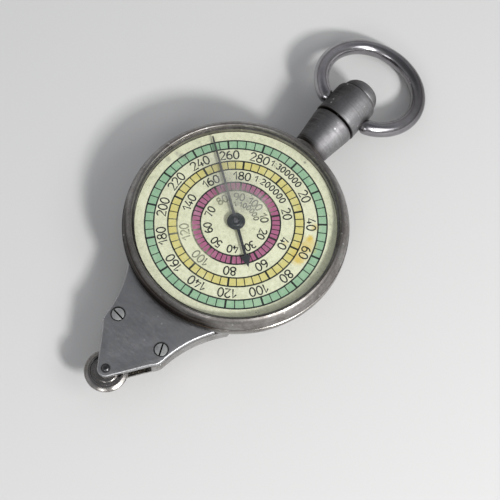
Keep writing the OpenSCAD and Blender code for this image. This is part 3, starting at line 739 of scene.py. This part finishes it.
# heights in mm, and the bezel's inner side as radius and height from its upper edge down to the dial
bezelLook = {
    "low": 8.34, "seat": 8.3, "under": (2.72, 8.22), "top": 49,
    "inside": [(15.62, 9.77), (15.52, 9.84), (15.4, 9.84), (15.3, 9.76), (15.25, 9.62), (15.25, 9.15),
               (14.95, 9.15), (14.95, 8.3)],
}


def makeBezel():
    look, case = bezelLook, caseLook
    cx = case["r"] - case["round"]
    low = math.degrees(math.asin((look["low"] - case["belly"]) / case["round"]))
    inset, under = look["under"]
    profile = [(case["boreTop"], look["seat"]), (case["boreTop"], under), (cx + inset, under)]
    profile += arc(cx, case["belly"], case["round"], low, look["top"], 18) + look["inside"]
    mesh = toMesh("bezelRing", spinProfile(profile, 240))
    addPiece(mesh, "case", "bezel", ["bezel"])


crystalLook = {"r": 15.23, "dome": 0.5, "thick": 0.5, "seat": 9.15}


def makeCrystal():
    look = crystalLook
    big = (look["r"] ** 2 + look["dome"] ** 2) / (2 * look["dome"])
    half = math.degrees(math.asin(look["r"] / big))
    centre = look["seat"] + look["dome"] - big
    lower = arc(0, centre, big, 90 - half, 90, 14)
    upper = arc(0, centre + look["thick"], big, 90, 90 - half, 14)
    upper[0], lower[-1] = (0, upper[0][1]), (0, lower[-1][1])
    mesh = toMesh("crystalGlass", spinProfile(lower + upper, 160))
    addPiece(mesh, "case", "glass", ["crystal"])


makeCase()
makeNeck()
makeNeckCover()
makeCoverScrews()
makeBezel()
makeCrystal()
print("case, neck, bezel and glass made")


unit = 13.4  # radius of the outer scale ring in mm
# in, out, text and ratioR are parts of that radius, and major counts the cells between bold ticks
scales = {
    "outer": {"ink": "green", "out": 1.0, "in": 0.9013, "cells": 60, "major": 4, "text": 0.826, "size": 1.5,
              "labels": list(range(20, 300, 20)), "ratio": "1:300000", "ratioSize": 1.06, "ratioR": 0.835,
              "ratioAt": 0, "spread": 1.10},
    "middle": {"ink": "yellow", "out": 0.7473, "in": 0.6476, "cells": 50, "major": 5, "text": 0.570,
               "size": 1.42, "labels": list(range(20, 200, 20)), "ratio": "1:200000", "ratioSize": 1.06,
               "ratioR": 0.580, "ratioAt": 0, "spread": 1.13},
    "inner": {"ink": "magenta", "out": 0.4882, "in": 0.3906, "cells": 50, "major": 5, "text": 0.314,
              "size": 1.26, "labels": list(range(10, 110, 10)), "ratio": "1:100000", "ratioSize": 0.86,
              "ratioR": 0.228, "ratioAt": -5, "spread": 1.14},
}
# widths in mm, and the text height below which the fine stroke gets thinner
lineLook = {"ring": 0.22, "tick": 0.14, "majorTick": 0.30, "stroke": 0.215, "fineStroke": 0.20,
            "fineText": 0.95}


# strokes of each character in a box one unit high
glyphs = {
    "0": (0.70, [loop(0.35, 0.5, 0.26, 0.44, 90, 450, 28)]),
    "1": (0.52, [[(0.05, 0.62), (0.36, 0.94), (0.36, 0.06)]]),
    "2": (0.68, [loop(0.34, 0.70, 0.25, 0.24, 165, -28, 14) + [(0.09, 0.07), (0.62, 0.07)]]),
    "3": (0.66, [loop(0.31, 0.73, 0.22, 0.21, 150, -85, 14), loop(0.31, 0.29, 0.25, 0.23, 85, -150, 16)]),
    "4": (0.70, [[(0.40, 0.94), (0.07, 0.28), (0.64, 0.28)], [(0.48, 0.52), (0.48, 0.06)]]),
    "5": (0.66, [[(0.55, 0.94), (0.17, 0.94), (0.13, 0.55)] + loop(0.31, 0.33, 0.26, 0.27, 120, -150, 16)]),
    "6": (0.68, [loop(0.34, 0.31, 0.25, 0.25, 150, 510, 24),
                 [(0.09, 0.34)] + loop(0.53, 0.46, 0.44, 0.48, 190, 105, 10)]),
    "7": (0.64, [[(0.07, 0.94), (0.58, 0.94), (0.23, 0.06)]]),
    "8": (0.70, [loop(0.35, 0.73, 0.21, 0.21, 90, 450, 22), loop(0.35, 0.29, 0.26, 0.23, 90, 450, 24)]),
    "9": (0.68, [loop(0.34, 0.69, 0.25, 0.25, 0, 360, 24),
                 [(0.59, 0.66)] + loop(0.15, 0.54, 0.44, 0.48, 10, -75, 10)]),
    ":": (0.34, [[(0.17, 0.26), (0.17, 0.32)], [(0.17, 0.62), (0.17, 0.68)]]),
}


def flatRing(outer, inner, low, high):
    return spinProfile([(inner, low), (outer, low), (outer, high), (inner, high)], 240)


def printedMesh(name, shape, ink):
    mesh = toMesh(name, shape, turnedBy(dialLook["turn"]))
    addPiece(mesh, "case", ink, smooth=False)


def makeScale(name, look):
    base, ink = dialLook["z"] - dialLook["sunk"], dialLook["z"] + dialLook["print"]
    top = ink + dialLook["lineRise"]
    out, inn = look["out"] * unit, look["in"] * unit
    printedMesh(name + "Band", flatRing(out, inn, base, ink), look["ink"])
    rings = [flatRing(r + lineLook["ring"] / 2, r - lineLook["ring"] / 2, base, top) for r in (out, inn)]
    ticks = []
    for i in range(look["cells"]):
        width = lineLook["tick"] if i % look["major"] else lineLook["majorTick"]
        tick = block(width, out - inn, top - base)
        place = turnedBy(-360 * i / look["cells"]) @ shifted(0, (out + inn) / 2, (top + base) / 2)
        bmesh.ops.transform(tick, matrix=place, verts=tick.verts)
        ticks.append(tick)
    printedMesh(name + "Lines", joinShapes(*rings, *ticks), "black")


def fromCurve(name, curve):
    # the tube that a bevelled curve draws
    holder = placed(name, curve)
    drawn = bpy.data.meshes.new_from_object(holder.evaluated_get(bpy.context.evaluated_depsgraph_get()))
    bpy.data.objects.remove(holder)
    shape = bmesh.new()
    shape.from_mesh(drawn)
    bpy.data.meshes.remove(drawn)
    return shape


def makeText(name, words, stroke, spread=1.0):
    # words: (text, clockwise angle in degrees, radius, height), each bent round the dial
    sheet = bpy.data.curves.new(name, "CURVE")
    sheet.dimensions, sheet.bevel_depth = "3D", stroke / 2 * mm
    sheet.bevel_resolution, sheet.use_fill_caps = 1, True
    for text, angle, radius, height in words:
        advance = [glyphs[c][0] * height * spread for c in text]
        at = -sum(advance) / 2
        for character, step in zip(text, advance):
            turn = math.radians(-angle) - (at + step / 2) / radius
            for line in glyphs[character][1]:
                spline = sheet.splines.new("POLY")
                spline.points.add(len(line) - 1)
                for point, (x, y) in zip(spline.points, line):
                    px, py = x * height - step / spread / 2, radius + (y - 0.5) * height
                    point.co = ((px * math.cos(turn) - py * math.sin(turn)) * mm,
                                (px * math.sin(turn) + py * math.cos(turn)) * mm, 0, 1)
            at += step
    shape = fromCurve(name + "Curve", sheet)
    bmesh.ops.scale(shape, vec=(1, 1, dialLook["strokeFlat"]), verts=shape.verts)
    bmesh.ops.translate(shape, vec=(0, 0, dialLook["z"] * mm), verts=shape.verts)
    printedMesh(name, shape, "black")


def makeDialPrint():
    for name, look in scales.items():
        makeScale(name, look)
        step = 360 * look["major"] / look["cells"]
        words = [(str(label), step * (1 + i), look["text"] * unit, look["size"])
                 for i, label in enumerate(look["labels"])]
        makeText(name + "Numbers", words, lineLook["stroke"])
        words = [(look["ratio"], look["ratioAt"], look["ratioR"] * unit, look["ratioSize"])]
        stroke = lineLook["fineStroke"] * min(1, look["ratioSize"] / lineLook["fineText"])
        makeText(name + "Ratio", words, stroke, look["spread"])


makeDialPrint()
print("dial printed")


handLook = {
    "low": 8.8, "thick": 0.13, "edge": 0.035, "angle": -35.6, "rivet": 0.19, "rivetSunk": 0.02,
    "discEdge": 0.03,
    # outlines from the centre outwards, in mm
    "arrow": [(0, -0.24), (5.5, -0.19), (5.65, -0.74), (7.4, 0), (5.65, 0.74), (5.5, 0.19), (0, 0.24)],
    "tail": [(0, -0.22), (14.3, -0.13), (14.3, 0.13), (0, 0.22)],
    # radius and height over the hand's underside: the flat disc, then the boss on it
    "disc": [(0, -0.02), (1.31, -0.02), (1.34, 0.02), (1.34, 0.14), (1.29, 0.18), (0.78, 0.19),
             (0.70, 0.26), (0.45, 0.26), (0.38, 0.20), (0.2, 0.20), (0.2, 0)],
}


def makeHand():
    look = handLook
    low, high = look["low"], look["low"] + look["thick"]
    parts = []
    for outline, angle in ((look["arrow"], look["angle"]), (look["tail"], look["angle"] + 180)):
        part = extrudeOutline(outline, low, high, look["edge"], 2)
        bmesh.ops.transform(part, matrix=turnedBy(angle), verts=part.verts)
        parts.append(part)
    disc = [(r, low + z) for r, z in look["disc"]]
    parts.append(spinProfile(rounded(disc, look["discEdge"], 2), 72))
    mesh = toMesh("handPlate", joinShapes(*parts))
    addPiece(mesh, "hand_assembly", "lacquer", ["hand"])
    pin = arc(0, high - look["rivetSunk"], look["rivet"], 90, 0, 6) + [(look["rivet"], low), (0, low)]
    addPiece(toMesh("handRivet", spinProfile(pin, 32)), "hand_assembly", "steel")


makeHand()
print("hand made")


wheelLook = {
    "y": -28.6, "low": 4.98, "edge": 0.05, "notches": 150, "notchBand": 0.07, "notchDepth": 0.992,
    # radius and height over the wheel's underside
    "profile": [(0.45, 0), (2.633, 0), (3.133, 0.28), (3.183, 0.34), (3.183, 0.5), (3.133, 0.56),
                (2.563, 0.85), (2.283, 0.82), (2.203, 0.62), (1.8, 0.6), (1.7, 0.74), (1.18, 0.76),
                (1.1, 0.9), (0.45, 0.9)],
}


def makeTracingWheel():
    look = wheelLook
    rim = max(r for r, z in look["profile"]) - look["notchBand"]
    shape = spinProfile(rounded(look["profile"], look["edge"], 2), 2 * look["notches"])
    for vert in shape.verts:  # fine notches round the rim, which grip the map
        step = round(math.atan2(vert.co.y, vert.co.x) / (math.pi / look["notches"]))
        if math.hypot(vert.co.x, vert.co.y) > rim * mm and step % 2:
            vert.co.x *= look["notchDepth"]
            vert.co.y *= look["notchDepth"]
    mesh = toMesh("tracingWheelDisc", shape, shifted(0, look["y"], look["low"]))
    addPiece(mesh, "tracing_assembly", "wheel", ["tracing_wheel"])


axleLook = {"low": 3.5, "shank": 0.4, "top": 6.7, "headR": 0.56, "headLow": 6.74, "headRise": 0.3,
            "edge": 0.03}


def makeAxle():
    look = axleLook
    outline = rounded([(0, look["low"]), (look["shank"], look["low"]), (look["shank"], look["top"]),
                       (look["headR"], look["top"]), (look["headR"], look["headLow"])], look["edge"])
    outline += loop(0, look["headLow"], look["headR"], look["headRise"], 0, 90, 8)[1:]
    outline[-1] = (0, outline[-1][1])
    mesh = toMesh("axleRivet", spinProfile(outline, 48), shifted(0, wheelLook["y"], 0))
    addPiece(mesh, "case", "darkSteel", ["wheel_axle"])


makeTracingWheel()
makeAxle()
print("tracing wheel and axle made")


# outlines as radius and distance along the stem
stemLook = {
    "z": 5.4, "case": 16.78, "len": 6.75, "r": 3.42,
    "flareR": 2.75, "flareStart": 0.6, "flareEnd": 0.55, "flarePower": 1.4, "flareBulge": 0.35,
    # from the case's side
    "foot": [(0, -1.88), (2.7, -1.88), (2.73, 0.3)], "collarEdge": 0.12,
    "collar": [(2.65, -0.88), (3.05, -0.88), (3.05, 0.02), (2.93, 0.24), (2.7, 0.34)],
    # from the stem's upper end
    "rim": [(3.42, -0.5), (3.36, -0.3), (3.2, -0.16), (2.72, -0.08), (0, -0.02)],
}
swivelLook = {
    "turn": 5.0, "len": 5.8, "gap": 0.05, "pivot": 2.8, "holeR": 1.05, "holeX": 3.2, "holeLong": 3,
    # from the barrel's lower end, with its rounded lip as radius, distance and size
    "foot": [(0, 0), (3.2, 0)], "lip": (3.39, 0.2, 0.16), "side": [(3.49, 0.42), (3.5, 0.5), (3.5, 1.2)],
    # from its upper end, with the cap's dome like the lip
    "rim": [(3.5, -0.75), (3.44, -0.45), (3.3, -0.2), (3.1, -0.03), (3.0, 0), (0, 0)],
    "cap": [(0, -0.02), (2.82, -0.02), (2.8, 0.07), (2.94, 0.13)], "dome": (0.9, 0.15, 2.05),
    "domeTop": [(0, 2.15)],
}
ringLook = {
    "r": 8.0, "wire": 1.2, "peg": 1.0, "pegEnd": 3.6, "pegOut": 4.05, "drop": 15.7,
    # the peg and its short bend, then the degrees and the height of the round that they take up
    "bend": [(1.75, 0), (3.5, 0), (3.75, 0.0), (4.0, 0.05), (4.24, 0.16)], "skip": 4, "bendTop": 0.3,
}
# from a piece turned about Z to the stem's axis, the swivel's small turn, and where the ring's pegs are
stemZ = stemLook["z"]
alongStem = shifted(0, 0, stemZ) @ turnedBy(-90, "X")
swivelled = shifted(0, 0, stemZ) @ turnedBy(swivelLook["turn"], "Y") @ shifted(0, 0, -stemZ)
pegPlace = shifted(0, stemLook["case"] + stemLook["len"] + swivelLook["pivot"], stemZ)


def along(points, start):
    return [(r, start + y) for r, y in points]


def makeStem():
    look = stemLook
    base, end = look["case"], look["case"] + look["len"]
    wider, longer = look["r"] - look["flareR"], look["len"] - look["flareStart"] - look["flareEnd"]
    flare = []
    for i in range(25):
        t = i / 24
        grow = wider * t ** look["flarePower"] * (1 + look["flareBulge"] * (1 - t))
        flare.append((look["flareR"] + grow, look["flareStart"] + longer * t))
    profile = along(look["foot"] + flare, base) + along(look["rim"], end)
    mesh = toMesh("stemBody", spinProfile(profile, 160), alongStem)
    addPiece(mesh, "case", "stem", ["stem"])
    collar = rounded(along(look["collar"], base), look["collarEdge"])
    mesh = toMesh("stemCollar", spinProfile(collar, 160), alongStem)
    addPiece(mesh, "case", "bezel", ["stem_collar"])


def makeSwivel():
    look = swivelLook
    start = stemLook["case"] + stemLook["len"] + look["gap"]
    end = start + look["len"]
    r, y, size = look["lip"]
    profile = look["foot"] + arc(r, y, size, -75, 60, 7) + look["side"]
    profile = along(profile, start) + along(look["rim"], end)
    blank = toMesh("barrelBlank", spinProfile(profile, 200), alongStem)
    holes = [drill(look["holeR"], look["holeLong"],
                   pegPlace @ shifted(side * look["holeX"], 0, 0) @ turnedBy(90, "Y")) for side in (-1, 1)]
    mesh = cutMesh("swivelBarrelBody", blank, holes)
    mesh.transform(swivelled)
    addPiece(mesh, "swivel", "stem", ["swivel_barrel"])
    r, y, size = look["dome"]
    cap = along(look["cap"] + arc(r, y, size, 0, 90, 18) + look["domeTop"], end)
    mesh = toMesh("swivelCapDome", spinProfile(cap, 160), swivelled @ alongStem)
    addPiece(mesh, "swivel", "stem", ["swivel_cap"])


def makeRing():
    # one bent wire: a peg, a short bend, the round of the ring, and the same back to the other peg
    look = ringLook
    reach = math.sqrt(look["r"] ** 2 - look["pegOut"] ** 2)
    start = math.degrees(math.asin(look["pegOut"] / look["r"])) - 90 + look["skip"]
    hoop = [(x, y + reach) for x, y in arc(0, 0, look["r"], start, 180 - start, 120)]
    path = look["bend"] + [p for p in hoop if p[1] > look["bendTop"]] + mirrored(look["bend"])
    wire = bpy.data.curves.new("ringPath", "CURVE")
    wire.dimensions, wire.bevel_depth, wire.bevel_resolution = "3D", look["wire"] * mm, 12
    wire.use_fill_caps = True
    spline = wire.splines.new("POLY")
    spline.points.add(len(path) - 1)
    for point, (x, y) in zip(spline.points, path):
        point.co = (x * mm, y * mm, 0, 1)
        onPeg = abs(x) < look["pegEnd"] and y < look["bendTop"]
        point.radius = look["peg"] / look["wire"] if onPeg else 1.0
    place = swivelled @ pegPlace @ turnedBy(-look["drop"], "X")
    mesh = toMesh("ringWire", fromCurve("ringCurve", wire), place)
    addPiece(mesh, "ring", "ring", ["ring"], angle=50)


makeStem()
makeSwivel()
makeRing()
print("stem, swivel and ring made")


nodeFinish = {
    "dial": "paper", "dial_feet": "brass", "bridge": "brass", "bridge_screws": "screw",
    "bridge_bushes": "brass", "pillars": "brass", "main_plate": "brass", "plate_screws": "screw",
    "plate_bushes": "brass", "idler_post": "steel", "idler_clip": "steel", "stem_nut": "brass",
    "swivel_stud": "steel", "hand_boss": "brass", "centre_arbor": "steel", "centre_gear": "brass",
    "second_arbor": "steel", "second_wheel": "brass", "idler_gear": "darkBrass",
    "wheel_pinion": "darkBrass",
}
for nodeName, finishName in nodeFinish.items():
    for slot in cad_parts[nodeName].material_slots:
        slot.material = finishes[finishName]
print("inner pieces finished")


# places in mm, roll in degrees, lens and sensor as for a camera, near clip in m
cameraLook = {
    "place": (48.83, -63.88, 197.78), "target": (4.322, -1.957, 8.3), "roll": 4.596, "lens": 100.88,
    "sensor": 36, "clip": 0.005,
}


def aimed(place, target):
    aim = (target - place).to_track_quat("-Z", "Y").to_matrix().to_4x4()
    return Matrix.Translation(place) @ aim


def makeCamera():
    look = cameraLook
    data = bpy.data.cameras.new("photoCamera")
    data.lens, data.sensor_width, data.clip_start = look["lens"], look["sensor"], look["clip"]
    camera = placed("photoCamera", data)
    aim = aimed(Vector(look["place"]) * mm, Vector(look["target"]) * mm)
    camera.matrix_world = aim @ turnedBy(look["roll"])
    bpy.context.scene.camera = camera


# from: which way the lamp lies; size and distance in m, power in W
lightLook = {
    "window": {"from": (0.94, -0.215, 0.80), "size": 0.06, "far": 0.45, "power": 1.75},
    "sky": {"from": (0.90, 0.20, 0.90), "size": 0.19, "far": 0.45, "power": 0.45},
    "lamp": {"from": (0.35, -0.95, 0.75), "size": 0.16, "far": 0.6, "power": 0.45},
}
roomLook = {
    "floor": (0.60, 0.595, 0.585), "floorRough": 0.8, "floorSize": 1.5, "floorBelow": 0.02,
    "soft": (0.42, 0.43, 0.45),
    # what the camera sees, and metal and glass too: pale round the horizon, a darker ceiling
    "seen": [(0.0, (0.93, 0.93, 0.92)), (0.08, (0.93, 0.93, 0.92)), (0.16, (0.10, 0.10, 0.105)),
             (0.36, (0.42, 0.42, 0.43)), (0.55, (0.55, 0.55, 0.57)), (0.80, (0.20, 0.205, 0.22)),
             (1.0, (0.16, 0.165, 0.175))],
}


def makeLights():
    for name, look in lightLook.items():
        data = bpy.data.lights.new(name + "Lamp", "AREA")
        data.size, data.energy = look["size"], look["power"]
        lamp = placed(name + "Lamp", data)
        lamp.matrix_world = aimed(Vector(look["from"]).normalized() * look["far"], Vector((0, 0, 0)))


def makeFloor():
    look = roomLook
    shape = bmesh.new()
    bmesh.ops.create_grid(shape, x_segments=1, y_segments=1, size=look["floorSize"])
    bmesh.ops.translate(shape, vec=(0, 0, -look["floorBelow"] * mm), verts=shape.verts)
    mesh = toMesh("floorSheet", shape)
    floor = placed("floorSheet", mesh)
    finish = Finish("palePaper")
    finish.set(Base_Color=look["floor"], Roughness=look["floorRough"])
    mesh.materials.append(finish.owner)


def makeWorld():
    # an even soft light, and one pale background for the camera, metal and glass
    world = bpy.data.worlds.new("paleRoom")
    bpy.context.scene.world = world
    room = Finish(world, "Generated")
    height = room.node("ShaderNodeSeparateXYZ", None, {"Vector": room.place}, output="Z")
    camera, glossy, through = [room.node("ShaderNodeLightPath", output="Is " + kind + " Ray")
                               for kind in ("Camera", "Glossy", "Transmission")]
    background = room.ramp(height, roomLook["seen"])
    room.set(Color=room.mix(roomLook["soft"], background, (camera + glossy + through).clamp()))


makeCamera()
makeLights()
makeFloor()
makeWorld()
bpy.context.scene.view_settings.view_transform = "Standard"
print("camera, lights and floor set")
